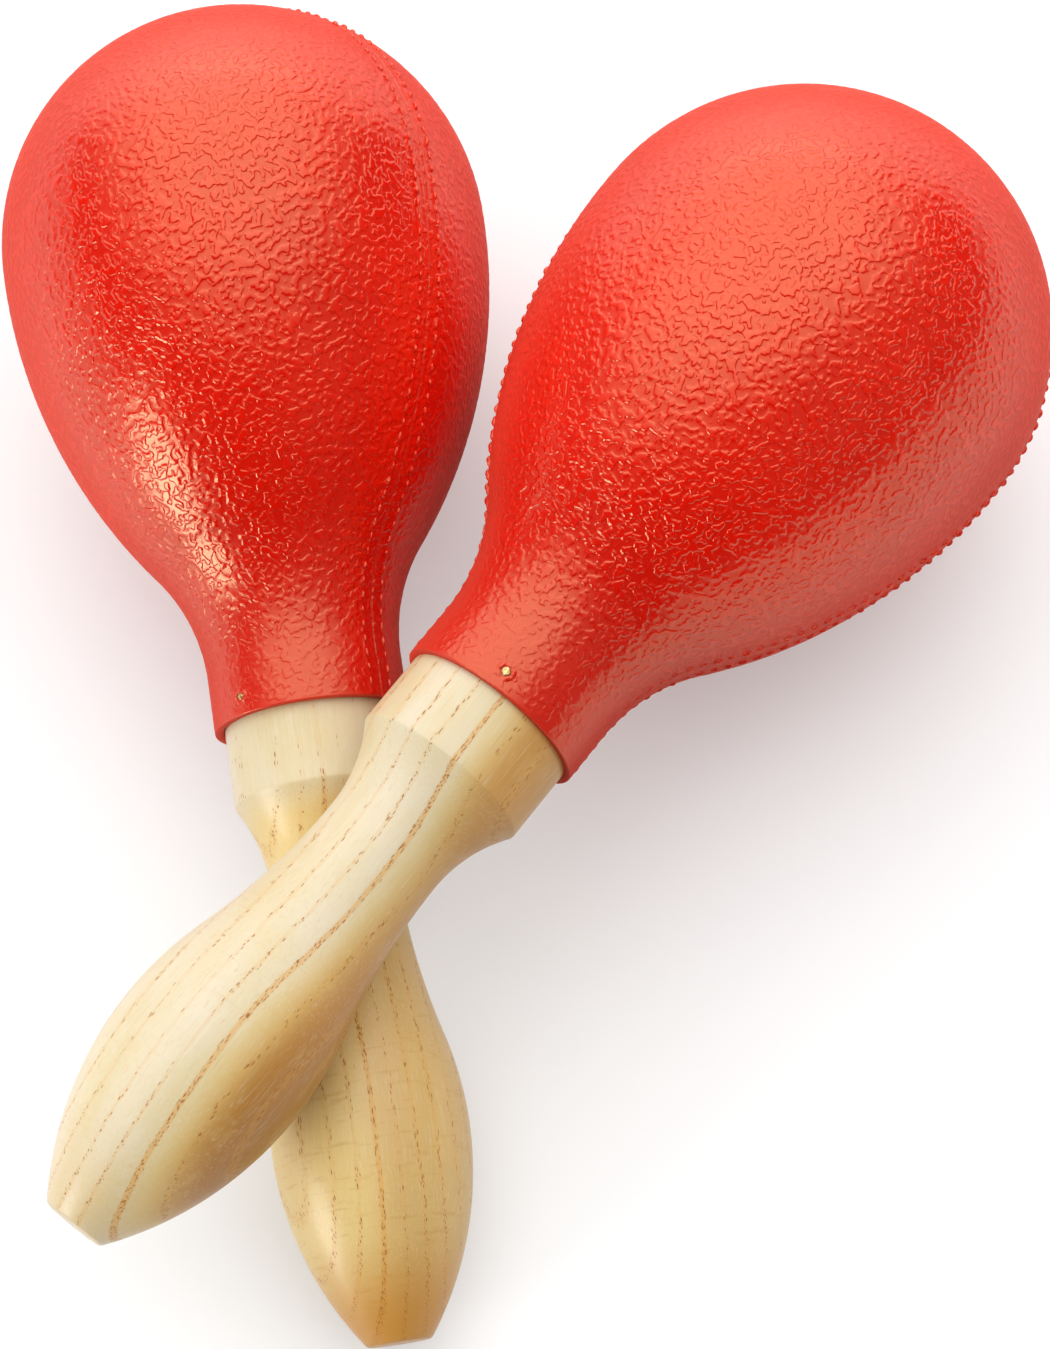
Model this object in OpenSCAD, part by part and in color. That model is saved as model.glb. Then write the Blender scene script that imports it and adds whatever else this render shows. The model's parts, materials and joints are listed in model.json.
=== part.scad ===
// A pair of maracas: red moulded heads on turned wooden handles, lying crossed on a table.
// Each maraca is drawn upright, from its handle's flat end at zero up to the crown of its head.
// The rear one lies on the table. The front one has its handle across the rear one's handle.

/* [Head] */
// Radius of the round crown
head_r = 45; // [40:0.5:50]
// Radius of the long arc that draws the belly in below the crown
belly_r = 101; // [88:1:120]
// Radius of the hollow curve between the belly and the neck
flare_r = 36; // [26:1:44]
// Length of the straight neck, from its rim to the flare
neck_l = 10; // [8:0.5:14]
// Wall thickness of the shell halves
wall = 1.8; // [1.4:0.1:2.2]

/* [Seam] */
// Thickness of the tongue along the seam
tongue_t = 0.6; // [0.4:0.05:0.7]
// How far the tongue reaches into the other half
tongue_l = 1.2; // [0.8:0.1:2]
// Clearance around the tongue
tongue_gap = 0.1; // [0.05:0.05:0.2]

/* [Handle] */
// Length of bare handle, from its flat end to the rim of the neck
handle_l = 110; // [104:1:118]
// Radius of the collar, and of the tenon that carries on inside the neck
collar_r = 15.6; // [14.5:0.1:17]
// Height of the collar below the rim of the neck
collar_h = 12.2; // [9:0.1:15]
// Radius at the waist
waist_r = 11.3; // [9.5:0.1:12.5]
// Distance of the waist from the flat end
waist_at = 79.5; // [76:0.5:83]
// Largest radius of the grip
grip_r = 17.3; // [15.5:0.1:19]
// Distance of the grip's thickest place from the flat end
grip_at = 35.5; // [32:0.5:39]
// Radius of the flat end, measured to its edge before that is eased
end_r = 5.5; // [4.5:0.1:8]
// Rounding of the flat end's edge
end_ease = 1.2; // [0.6:0.1:2]
// Rounding of the collar's lower edge
collar_ease = 1.5; // [0.5:0.1:2.5]
// Length of the tenon inside the neck
tenon_l = 14; // [10:0.5:18]
// Bevel around the tenon's top
tenon_bevel = 1; // [0.5:0.1:2]
// Clearance of the tenon in the neck
tenon_gap = 0.1; // [0.05:0.05:0.3]

/* [Brads] */
// Radius of a brad's shank
brad_r = 0.55; // [0.4:0.05:0.8]
// Length of a brad below its head
brad_l = 9; // [7:0.5:12]
// Radius of a brad's head
brad_head_r = 0.95; // [0.85:0.05:1.4]
// Thickness of a brad's head
brad_head_t = 0.5; // [0.3:0.05:0.8]
// Height of the brads above the rim of the neck
brad_up = 3.3; // [2.5:0.1:5]
// Clearance of a brad in its holes
brad_gap = 0.05; // [0.02:0.01:0.1]

/* [Pellets] */
// Radius of a loose pellet
pellet_r = 2.25; // [1.8:0.05:2.5]
// Pellets in each group of a head
group_n = 6; // [3:1:7]
// Clearance of a resting pellet to the wall and to its neighbours
pellet_gap = 0.3; // [0.2:0.05:0.5]

/* [Layout] */
// Heading of the rear maraca, in degrees to the right of straight back
rear_heading = 5.4; // [0:0.1:12]
// Angle between the two maracas, seen from above
cross_angle = 45.5; // [42:0.5:52]
// Where the handles cross, along the rear one from its flat end
rear_cross = 65.5; // [60:0.5:70]
// Where the handles cross, along the front one from its flat end
front_cross = 64.5; // [60:0.5:70]
// Turn of the rear maraca about its own axis
rear_roll = -36; // [-90:1:90]
// Turn of the front maraca about its own axis
front_roll = 11; // [-90:1:90]
// Gap left where the front handle lies on the rear one
rest_gap = 0.3; // [0.2:0.05:0.5]

/* [Hidden] */

shell_red = [0.86, 0.09, 0.05];
ash_wood = [0.92, 0.83, 0.65];
brass = [0.85, 0.70, 0.40];
pellet_ivory = [0.93, 0.90, 0.80];

// Smoothness of round shapes
$fn = 96;
// Longest straight step along a curved outline
outline_step = 3;
// How far a cut runs past the face that it opens
cut = 1;

// Points along an arc, after its first point, from one angle to another
function arc(centre, r, from, to) =
    let (steps = ceil(abs(to - from) * PI / 180 * r / outline_step) + 2)
    [for (i = [1 : steps]) let (a = from + (to - from) * i / steps) centre + r * [cos(a), sin(a)]];
function angle_of(way) = atan2(way.y, way.x);

// Head outline: straight neck, hollow flare, belly arc and round crown, each tangent to the next
rim_at = handle_l;
neck_r = collar_r + tenon_gap + wall;
neck_top = rim_at + neck_l;
flare_centre = [neck_r + flare_r, neck_top];
belly_rise = sqrt(pow(belly_r + flare_r, 2) - pow(neck_r + flare_r + belly_r - head_r, 2));
head_at = neck_top + belly_rise;
belly_centre = [head_r - belly_r, head_at];
belly_foot = angle_of(flare_centre - belly_centre);

// Half outline of the head, drawn in by inset, from the height low up to the crown
function head_outline(inset, low) = concat(
    [[0, low], [neck_r - inset, low], [neck_r - inset, neck_top]],
    arc(flare_centre, flare_r + inset, 180, belly_foot + 180),
    arc(belly_centre, belly_r - inset, belly_foot, 0),
    arc([0, head_at], head_r - inset, 0, 90)
);
tongue_out = (wall - tongue_t) / 2;
tongue_in = (wall + tongue_t) / 2;

// Handle outline: eased flat end, grip arc, waist arc, cove arc, eased collar and tenon
grip_arc = (pow(grip_at, 2) + pow(grip_r - end_r, 2)) / (2 * (grip_r - end_r));
grip_centre = [grip_r - grip_arc, grip_at];
waist_drop = grip_r - waist_r;
waist_arc = (pow(waist_at - grip_at, 2) + pow(waist_drop, 2)) / (2 * waist_drop) - grip_arc;
waist_centre = [waist_r + waist_arc, waist_at];
grip_top = angle_of(waist_centre - grip_centre);
cove_run = handle_l - collar_h - waist_at;
cove_rise = collar_r - waist_r;
cove_arc = (pow(cove_run, 2) + pow(cove_rise, 2)) / (2 * cove_rise);
cove_centre = [waist_r + cove_arc, waist_at];
edge_drop = cove_centre.x - collar_r + collar_ease;
edge_centre = [collar_r - collar_ease, waist_at + sqrt(pow(cove_arc + collar_ease, 2) - pow(edge_drop, 2))];
edge_foot = angle_of(cove_centre - edge_centre);
flat_r = grip_centre.x + sqrt(pow(grip_arc - end_ease, 2) - pow(grip_at - end_ease, 2));
corner_centre = [flat_r, end_ease];
grip_foot = angle_of(corner_centre - grip_centre);
tenon_top = rim_at + tenon_l;
brad_at = rim_at + brad_up;
handle_outline = concat(
    [[0, 0], [flat_r, 0]],
    arc(corner_centre, end_ease, -90, grip_foot),
    arc(grip_centre, grip_arc, grip_foot, grip_top),
    arc(waist_centre, waist_arc, grip_top + 180, 180),
    arc(cove_centre, cove_arc, 180, edge_foot + 180),
    arc(edge_centre, collar_ease, edge_foot, 0),
    [[collar_r, tenon_top - tenon_bevel], [collar_r - tenon_bevel, tenon_top], [0, tenon_top]]
);

// Radius of the sphere inside the handle that is centred on its axis and touches its side
grip_span = (waist_at - grip_at) * -grip_centre.x / (waist_centre.x - grip_centre.x);
function inner_sphere(s) =
    s < grip_at + grip_span ? grip_arc - norm([s - grip_at, grip_centre.x])
    : s < waist_at ? norm([s - waist_at, waist_centre.x]) - waist_arc
    : norm([s - waist_at, cove_centre.x]) - cove_arc;

// Rear maraca: it lies on its belly and its grip, so the table is tangent to both arcs
belly_from_grip = [head_at - grip_at, belly_centre.x - grip_centre.x];
rear_pitch = atan2(belly_from_grip[1], belly_from_grip[0])
    + asin((belly_r - grip_arc) / norm(belly_from_grip));

// Height of the head's centre above the table, for a maraca pitched up by p degrees
function head_height(p) = p > 0 ? belly_r - (belly_r - head_r) * cos(p) : head_r;

// Point of a maraca's axis, s along it, with the crossing of the handles as the plan's zero
function axis_point(s, heading, p, cross) = [
    (s - cross) * cos(p) * sin(heading),
    (s - cross) * cos(p) * cos(heading),
    head_height(p) + (s - head_at) * sin(p)
];
function axis_way(heading, p) = [cos(p) * sin(heading), cos(p) * cos(heading), sin(p)];

// Front maraca: pitched until its handle comes down to the gap above the rear handle
front_heading = rear_heading + cross_angle;
near_reach = 24;
near_step = 2;
near = [-near_reach : near_step : near_reach];
function clearance(p) = min([
    for (i = near, j = near)
        norm(axis_point(rear_cross + i, rear_heading, rear_pitch, rear_cross)
            - axis_point(front_cross + j, front_heading, p, front_cross))
        - inner_sphere(rear_cross + i) - inner_sphere(front_cross + j)
]);
function settle(low, high, turns) =
    turns == 0 ? low
    : let (middle = (low + high) / 2)
        clearance(middle) > rest_gap ? settle(middle, high, turns - 1) : settle(low, middle, turns - 1);
front_pitch = settle(-12, 12, 20);

rear_end = axis_point(0, rear_heading, rear_pitch, rear_cross);
rear_head = axis_point(head_at, rear_heading, rear_pitch, rear_cross);
rear_way = axis_way(rear_heading, rear_pitch);
front_end = axis_point(0, front_heading, front_pitch, front_cross);
front_head = axis_point(head_at, front_heading, front_pitch, front_cross);
front_way = axis_way(front_heading, front_pitch);

// Origin: on the table, under the middle of the pair's box
function end_reach(end, way, out) =
    (end + end_ease * way) * out + flat_r * sqrt(1 - pow(way * out, 2)) + end_ease;
right_side = front_head.x + head_r;
left_side = -end_reach(front_end, front_way, [-1, 0, 0]);
back_side = rear_head.y + head_r;
front_side = -end_reach(rear_end, rear_way, [0, -1, 0]);
origin = [(left_side + right_side) / 2, (front_side + back_side) / 2, 0];

// Pellets: a single layer in a spiral over the lowest place of the head, each in a column of its own
golden_turn = 137.508;
// Nearest neighbours in the spiral are this many pitches apart, or more
spiral_spacing = 1.54;
spiral_pitch = (2 * pellet_r + pellet_gap) / spiral_spacing;
function spiral_spot(i) = spiral_pitch * sqrt(i + 0.5) * [cos(i * golden_turn), sin(i * golden_turn)];

// True if a pellet clears the wall: along, across and up are measured from the head's centre
pellet_inset = wall + pellet_r + pellet_gap;
function pellet_fits(along, across, up, p) =
    let (
        s = along * cos(p) + up * sin(p),
        off = sqrt(pow(along, 2) + pow(across, 2) + pow(up, 2) - pow(s, 2)),
        room = s > 0 ? sqrt(pow(head_r - pellet_inset, 2) - pow(s, 2))
            : belly_centre.x + sqrt(pow(belly_r - pellet_inset, 2) - pow(s, 2))
    ) off < room;
function pellet_up(along, across, p, low, high, turns) =
    turns == 0 ? high
    : let (middle = (low + high) / 2)
        pellet_fits(along, across, middle, p)
        ? pellet_up(along, across, p, low, middle, turns - 1)
        : pellet_up(along, across, p, middle, high, turns - 1);
function pellet_place(i, heading, p) =
    let (
        spot = spiral_spot(i),
        along = spot[0] + belly_centre.x * sin(max(p, 0)),
        up = pellet_up(along, spot[1], p, -head_r, 0, 20)
    ) [
        along * sin(heading) + spot[1] * cos(heading),
        along * cos(heading) - spot[1] * sin(heading),
        up
    ];

// Places a maraca, drawn upright, where it lies
module at_rear() {
    translate(rear_end - origin) rotate([rear_pitch - 90, 0, -rear_heading]) rotate([0, 0, rear_roll]) children();
}

module at_front() {
    translate(front_end - origin) rotate([front_pitch - 90, 0, -front_heading]) rotate([0, 0, front_roll]) children();
}

// Band along the seam plane, between two depths in the wall, on both sides of the axis
module seam_band(outer, inner) {
    difference() {
        for (side = [0, 1]) mirror([side, 0]) polygon(head_outline(outer, rim_at));
        for (side = [0, 1]) mirror([side, 0]) polygon(head_outline(inner, rim_at - cut));
    }
}

// Hole through the neck for a brad, in the middle of a half
module neck_hole() {
    translate([0, 0, brad_at]) rotate([-90, 0, 0]) cylinder(r = brad_r + brad_gap, h = neck_r + cut);
}

// Half of a shell, on the side of +Y, with its brad hole
module plain_half() {
    difference() {
        rotate_extrude(angle = 180) difference() {
            polygon(head_outline(0, rim_at));
            polygon(head_outline(wall, rim_at - cut));
        }
        neck_hole();
    }
}

module shell_tongue_half() {
    color(shell_red) union() {
        plain_half();
        rotate([90, 0, 0]) linear_extrude(tongue_l) seam_band(tongue_out, tongue_in);
    }
}

module shell_groove_half() {
    color(shell_red) difference() {
        rotate([0, 0, 180]) plain_half();
        translate([0, cut, 0]) rotate([90, 0, 0]) linear_extrude(tongue_l + tongue_gap + cut)
            seam_band(tongue_out - tongue_gap, tongue_in + tongue_gap);
    }
}

module handle() {
    color(ash_wood) difference() {
        rotate_extrude() polygon(handle_outline);
        for (side = [0, 180]) rotate([0, 0, side]) translate([0, neck_r - brad_l - cut, brad_at])
            rotate([-90, 0, 0]) cylinder(r = brad_r + brad_gap, h = brad_l + 2 * cut);
    }
}

// A brad points inwards from the outside of the neck, with a low domed head
module brad() {
    dome_r = (pow(brad_head_r, 2) + pow(brad_head_t, 2)) / (2 * brad_head_t);
    translate([0, neck_r, brad_at]) rotate([-90, 0, 0]) {
        translate([0, 0, -brad_l]) cylinder(r = brad_r, h = brad_l + brad_head_t / 2);
        intersection() {
            translate([0, 0, brad_head_t - dome_r]) sphere(r = dome_r);
            cylinder(r = brad_head_r, h = brad_head_t);
        }
    }
}

module brads() {
    color(brass) for (side = [0, 180]) rotate([0, 0, side]) brad();
}

// One group of pellets: group 1 lies lowest, and each later group lies around the one before
module pellets(group, head, heading, p) {
    color(pellet_ivory)
        for (i = [(group - 1) * group_n : group * group_n - 1])
            translate(head - origin + pellet_place(i, heading, p)) sphere(r = pellet_r);
}

module rear_pellets(group) {
    pellets(group, rear_head, rear_heading, rear_pitch);
}

module front_pellets(group) {
    pellets(group, front_head, front_heading, front_pitch);
}

at_rear() shell_tongue_half();  // rear_shell_tongue_half
at_rear() shell_groove_half();  // rear_shell_groove_half
at_rear() handle();  // rear_handle
at_rear() brads();  // rear_brads
rear_pellets(1);  // rear_pellets_1
rear_pellets(2);  // rear_pellets_2
rear_pellets(3);  // rear_pellets_3
rear_pellets(4);  // rear_pellets_4
rear_pellets(5);  // rear_pellets_5
rear_pellets(6);  // rear_pellets_6
at_front() shell_tongue_half();  // front_shell_tongue_half
at_front() shell_groove_half();  // front_shell_groove_half
at_front() handle();  // front_handle
at_front() brads();  // front_brads
front_pellets(1);  // front_pellets_1
front_pellets(2);  // front_pellets_2
front_pellets(3);  // front_pellets_3
front_pellets(4);  // front_pellets_4
front_pellets(5);  // front_pellets_5
front_pellets(6);  // front_pellets_6
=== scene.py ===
"""Looks of a pair of maracas: grained red heads with stitched seams, ash handles, nails and pellets."""

import json
import math

import bpy
import numpy as np
from mathutils import Matrix, Vector


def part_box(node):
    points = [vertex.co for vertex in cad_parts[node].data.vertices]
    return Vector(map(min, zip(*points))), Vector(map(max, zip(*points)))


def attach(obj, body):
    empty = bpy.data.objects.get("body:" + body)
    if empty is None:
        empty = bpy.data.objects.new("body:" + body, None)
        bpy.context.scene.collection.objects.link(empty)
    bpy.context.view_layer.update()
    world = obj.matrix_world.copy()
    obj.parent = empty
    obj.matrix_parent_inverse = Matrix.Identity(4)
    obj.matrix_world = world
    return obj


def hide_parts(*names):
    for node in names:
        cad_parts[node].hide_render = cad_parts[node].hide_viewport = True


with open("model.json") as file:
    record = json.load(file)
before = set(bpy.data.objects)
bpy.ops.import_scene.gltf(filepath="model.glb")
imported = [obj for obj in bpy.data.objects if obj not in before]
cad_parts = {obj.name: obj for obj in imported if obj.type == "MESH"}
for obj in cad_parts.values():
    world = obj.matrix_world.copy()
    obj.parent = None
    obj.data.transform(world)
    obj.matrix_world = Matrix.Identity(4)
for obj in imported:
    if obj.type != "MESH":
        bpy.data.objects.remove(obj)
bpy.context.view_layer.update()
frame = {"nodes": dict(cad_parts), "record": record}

MM = 0.001
SIDES = ("rear", "front")

# Head, neck and handle: the solids' sizes, apart from the collar's and where the waist is
HEAD_R = 45 * MM
BELLY_R = 101 * MM
FLARE_R = 36 * MM
NECK_L = 10 * MM
WALL = 1.8 * MM
HANDLE_L = 110 * MM
COLLAR_R = {"rear": 15.7 * MM, "front": 16.2 * MM}
COLLAR_H = 13.8 * MM
COLLAR_EASE = 1.1 * MM
COLLAR_EASE_STEPS = 5
SHOULDER_GAP = 0.15 * MM
WAIST_R = 11.3 * MM
WAIST_AT = 80.5 * MM
GRIP_R = 17.3 * MM
GRIP_AT = 35.5 * MM
END_R = 5.5 * MM
END_EASE = 1.2 * MM
END_EASE_STEPS = 4
TENON_R = 15.6 * MM
TENON_L = 14 * MM
TENON_BEVEL = 1 * MM
TENON_GAP = 0.1 * MM
WOOD_STEP = 0.6 * MM
NECK_R = TENON_R + TENON_GAP + WALL

# Nails through the neck: flat heads, a little square, raised in the middle
NAIL_AT = HANDLE_L + 3.3 * MM
NAIL_L = 9 * MM
NAIL_R = 0.55 * MM
NAIL_POINT = 1.5 * MM
NAIL_HEAD_R = {"rear": 0.62 * MM, "front": 0.85 * MM}
NAIL_FLAT = 0.75
NAIL_FLAT_STEPS = 6
NAIL_EDGE_STEPS = 8
NAIL_RISE = 0.15 * MM
NAIL_SQUARE = 0.07

# Plastic pushed up round each nail: points of the ring's section, out from its inner edge and up
NAIL_RING = np.array([
    (0.0, -0.3), (0.0, 0.08), (0.08, 0.16), (0.28, 0.2),
    (0.5, 0.13), (0.75, 0.04), (0.95, -0.04), (0.95, -0.3),
]) * MM
NAIL_RING_GAP = 0.12 * MM
NAIL_RING_SIDES = 40

# Lumps of that ring: least and mean share of its height, and waves as share, number around and start
LUMP_LEAST = 0.1
LUMP_MEAN = 0.8
LUMP_WAVES = ((0.6, 2, 1.3), (0.45, 5, 0.4))

# Moulded surface of the heads
SKIN_STEP = 0.42 * MM
INSIDE_STEP = 3 * MM
RIM_ROUND = 0.2 * MM
RIM_ROUND_STEPS = 4
RIM_GAP = 0.4 * MM
RIM_GAP_DEPTH = 0.7 * MM
SEAM_STEPS = (0.14 * MM, 0.3 * MM, 0.55 * MM)
SEAM_DEPTH = 0.22 * MM
SEAM_WIDTH = 0.24 * MM
SEAM_PROUD = 0.12 * MM
SEAM_PROUD_WIDTH = 1.1 * MM
FLASH_H = 0.16 * MM
FLASH_WIDTH = 0.3 * MM
FLASH_WAVES = (1.1 * MM, 2.3 * MM, 3.7 * MM)
FLASH_STARTS = (0.0, 2.0)
FLASH_LEVEL = 1.4

# Where the grain comes in, as distances from the seam, the rim and the nails, and how faint it is by the rim
PLAIN_BY_SEAM = (1.3 * MM, 2.6 * MM)
PLAIN_BY_RIM = (0.2 * MM, 1.0 * MM)
FAINT_BY_RIM = (6 * MM, 26 * MM)
FAINT_GRAIN = 0.5
PLAIN_BY_NAIL = (1.2 * MM, 4 * MM)

# Leather grain: cells per metre, settings of its noise, the level and soft edge of its islands, their height
GRAIN_SCALE = 900.0
GRAIN_DETAIL = 0.4
GRAIN_ROUGHNESS = 0.45
GRAIN_DISTORTION = 0.3
GRAIN_LEVEL = 0.52
GRAIN_EDGE = 0.09
GRAIN_H = 0.06 * MM

# Raised stitches along the seam, and how their length, width and height vary
STITCH_OFF = 2.4 * MM
STITCH_PITCH = 2.6 * MM
STITCH_L = 1.9 * MM
STITCH_W = 0.62 * MM
STITCH_H = 0.62 * MM
STITCH_SMALLEST = (0.82, 0.85, 0.8)
STITCH_LARGEST = (1.1, 1.15, 1.15)
STITCH_SEED = 3
STITCH_FROM_RIM = 2.5 * MM
LOW_BY_RIM = (10 * MM, 40 * MM)
LOW_ON_CROWN = (12 * MM, 40 * MM)
LOWER_ON_CROWN = 0.5
LOWEST_STITCH = {"rear": 0.75, "front": 0.3}
WELT_H = 0.12 * MM
WELT_WIDTH = 0.5 * MM

# Shares of its length and width that a stitch keeps where it has no height
FLAT_STITCH_L = 0.7
FLAT_STITCH_W = 0.6


# Node trees

class Tone:
    """One socket of a node tree. Arithmetic on it adds Math nodes to the tree."""

    def __init__(self, tree, socket):
        self.tree = tree
        self.socket = socket

    def node(self, kind, settings=None, sockets=None, out=0):
        return add_node(self.tree, kind, settings, sockets, out)

    def maths(self, operation, first, second):
        return self.node("ShaderNodeMath", {"operation": operation}, {0: first, 1: second})

    def __add__(self, other):
        return self.maths("ADD", self, other)

    def __radd__(self, other):
        return self.maths("ADD", other, self)

    def __sub__(self, other):
        return self.maths("SUBTRACT", self, other)

    def __rsub__(self, other):
        return self.maths("SUBTRACT", other, self)

    def __mul__(self, other):
        return self.maths("MULTIPLY", self, other)

    def __rmul__(self, other):
        return self.maths("MULTIPLY", other, self)

    def __truediv__(self, other):
        return self.maths("DIVIDE", self, other)

    def smooth(self, low, high):
        """0 below low, 1 above high, with a soft step between."""
        return self.node(
            "ShaderNodeMapRange",
            {"interpolation_type": "SMOOTHSTEP"},
            {"Value": self, "From Min": low, "From Max": high},
        )

    def most(self, other):
        return self.maths("MAXIMUM", self, other)

    def least(self, other):
        return self.maths("MINIMUM", self, other)

    def size(self):
        return self.node("ShaderNodeMath", {"operation": "ABSOLUTE"}, {0: self})

    def mix(self, first, second):
        """Colour between first and second, by this share; a Mix node's colours are sockets 6 and 7."""
        return self.node("ShaderNodeMix", {"data_type": "RGBA"}, {0: self, 6: first, 7: second}, 2)

    def noise(self, scale, detail=2.0, roughness=0.5, distortion=0.0):
        return self.node(
            "ShaderNodeTexNoise",
            {"noise_dimensions": "3D"},
            {
                "Vector": self,
                "Scale": scale,
                "Detail": detail,
                "Roughness": roughness,
                "Distortion": distortion,
            },
        )

    def stretched(self, x, y, z):
        return self.node("ShaderNodeVectorMath", {"operation": "MULTIPLY"}, {0: self, 1: (x, y, z)})

    def parts(self):
        return [self.node("ShaderNodeSeparateXYZ", None, {0: self}, axis) for axis in range(3)]


def add_node(tree, kind, settings=None, sockets=None, out=0):
    """A new node: its settings are set first, then the values or links of its sockets."""
    node = tree.nodes.new(kind)
    for name, value in (settings or {}).items():
        setattr(node, name, value)
    for key, value in (sockets or {}).items():
        if isinstance(value, Tone):
            tree.links.new(value.socket, node.inputs[key])
        else:
            node.inputs[key].default_value = value
    return Tone(tree, node.outputs[out]) if node.outputs else None


def rgb(red, green, blue):
    """A colour as a screen shows it, 0 to 255, turned into the linear one that shaders take."""
    def linear(level):
        share = level / 255
        return share / 12.92 if share <= 0.04045 else ((share + 0.055) / 1.055) ** 2.4
    return (linear(red), linear(green), linear(blue), 1.0)


# Colours of the plastic, the wood, the nails and the pellets
RED = rgb(217, 14, 1)
RED_BRIGHT = rgb(224, 18, 2)
# Painted shade: the red by the neck, under the head
RED_NECK_SHADE = rgb(194, 9, 2)
# Painted shade in the hollows between the grain's islands
RED_RECESS_SHADE = rgb(160, 8, 6)
SAPWOOD = rgb(214, 201, 174)
SAPWOOD_DEEP = rgb(207, 190, 148)
GOLD_WOOD = rgb(219, 189, 118)
# Heartwood, partly the wood's own colour and partly painted shade; it also paints the shade on the end
HEARTWOOD_AND_SHADE = rgb(190, 129, 47)
# Pale silky figure and pale fibres; the silky blotches are partly a painted sheen
PALE_SILK_AND_SHEEN = rgb(219, 207, 181)
FIBRE = rgb(194, 162, 108)
RIPPLE = rgb(190, 142, 72)
RING_LINE = rgb(212, 154, 70)
PORE = rgb(160, 98, 30)
# Painted shade: the dark brown core low on the shaded side
SHADE_BROWN = rgb(120, 72, 20)
BRASS = rgb(236, 214, 160)
BRASS_DULL = rgb(176, 132, 66)
IVORY = rgb(240, 234, 214)
IVORY_DEEP = rgb(216, 202, 168)
WHITE = (1.0, 1.0, 1.0, 1.0)


def new_material(name):
    """A new material and its node tree, with no node in it."""
    material = bpy.data.materials.new(name)
    material.use_nodes = True
    material.node_tree.nodes.clear()
    return material, material.node_tree


def finish_material(tree, shader):
    """Sends a shader to the material's output."""
    add_node(tree, "ShaderNodeOutputMaterial", None, {"Surface": shader})


# Where each maraca lies

def lie(side):
    """Matrix that takes a maraca from upright, with its flat end at zero, to where it lies.

    The mount at the handle's end gives the axis, and the row of two brads gives the turn about it.
    """
    mounts = {mount["name"]: mount for mount in frame["record"]["mounts"]}
    end = mounts[f"{side}_handle_end"]
    along = -Vector(end["axis"]).normalized()
    corners = frame["nodes"][f"{side}_brads"].data.vertices
    points = np.array([corner.co for corner in corners]) - np.array(end["pos_m"])
    points -= np.outer(points @ np.array(along), np.array(along))
    across = Vector(np.linalg.svd(points, full_matrices=False)[2][0])
    low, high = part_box(f"{side}_shell_tongue_half")
    if across.dot((low + high) / 2 - Vector(end["pos_m"]) - along * NAIL_AT) < 0:
        across.negate()
    across = (across - along * across.dot(along)).normalized()
    turn = Matrix((across.cross(along), across, along)).transposed()
    return Matrix.Translation(end["pos_m"]) @ turn.to_4x4()


LIE = {side: lie(side) for side in SIDES}


def upright_coordinates(tree, side):
    """Object coordinates taken back to the upright maraca, in millimetres."""
    back = LIE[side].inverted()
    where = add_node(tree, "ShaderNodeTexCoord", out="Object")
    return where.node(
        "ShaderNodeMapping",
        {"vector_type": "POINT"},
        {
            "Vector": where,
            "Location": back.translation / MM,
            "Rotation": back.to_euler(),
            "Scale": (1 / MM, 1 / MM, 1 / MM),
        },
    )


# Outlines and turned meshes: a ring under this share of a step is one point; room that extra points need
ONE_POINT_RING = 0.25
EXTRA_ROOM = 4
EXTRA_CLEAR = 1.4


def arc(centre, radius, start, stop, step):
    """Points along an arc after its first point, about a step apart; angles are in radians."""
    count = max(2, math.ceil(abs(stop - start) * radius / step))
    turns = np.linspace(start, stop, count + 1)[1:]
    return [(centre[0] + radius * math.cos(t), centre[1] + radius * math.sin(t)) for t in turns]


def line(start, stop, step):
    """Points along a straight line after its first point, at most a step apart."""
    count = max(1, math.ceil(math.dist(start, stop) / step))
    shares = np.linspace(0, 1, count + 1)[1:]
    return [tuple(np.array(start) + share * (np.array(stop) - np.array(start))) for share in shares]


def angle_between(centre, other):
    """Angle of the way from a centre to another point, in radians."""
    return math.atan2(other[1] - centre[1], other[0] - centre[0])


NECK_TOP = HANDLE_L + NECK_L
BELLY_RISE = math.sqrt((BELLY_R + FLARE_R) ** 2 - (NECK_R + FLARE_R + BELLY_R - HEAD_R) ** 2)
HEAD_AT = NECK_TOP + BELLY_RISE
FLARE_CENTRE = (NECK_R + FLARE_R, NECK_TOP)
BELLY_CENTRE = (HEAD_R - BELLY_R, HEAD_AT)
BELLY_FOOT = angle_between(BELLY_CENTRE, FLARE_CENTRE)


def head_outline(inset, step):
    """From the pole of the crown down to the top of the straight neck, at a depth below the outside."""
    crown = [(0.0, HEAD_AT + HEAD_R - inset)] + arc((0, HEAD_AT), HEAD_R - inset, math.pi / 2, 0, step)
    belly = arc(BELLY_CENTRE, BELLY_R - inset, 0, BELLY_FOOT, step)
    flare = arc(FLARE_CENTRE, FLARE_R + inset, BELLY_FOOT + math.pi, math.pi, step)
    return crown + belly + flare


def shell_outline():
    """The wall of a shell: down the outside and round the rim, and then up the inside."""
    outside = head_outline(0, SKIN_STEP)
    outside += line((NECK_R, NECK_TOP), (NECK_R, HANDLE_L + RIM_ROUND), SKIN_STEP)
    rim_centre = (NECK_R - RIM_ROUND, HANDLE_L + RIM_ROUND)
    outside += arc(rim_centre, RIM_ROUND, 0, -math.pi / 2, RIM_ROUND / RIM_ROUND_STEPS)
    bore_r = NECK_R - WALL
    outside += [(bore_r + RIM_GAP, HANDLE_L), (bore_r, HANDLE_L + RIM_GAP_DEPTH)]
    inside = head_outline(WALL, INSIDE_STEP)
    inside += line((bore_r, NECK_TOP), (bore_r, HANDLE_L + RIM_GAP_DEPTH), INSIDE_STEP)[:-1]
    return outside, inside[::-1]


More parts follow.
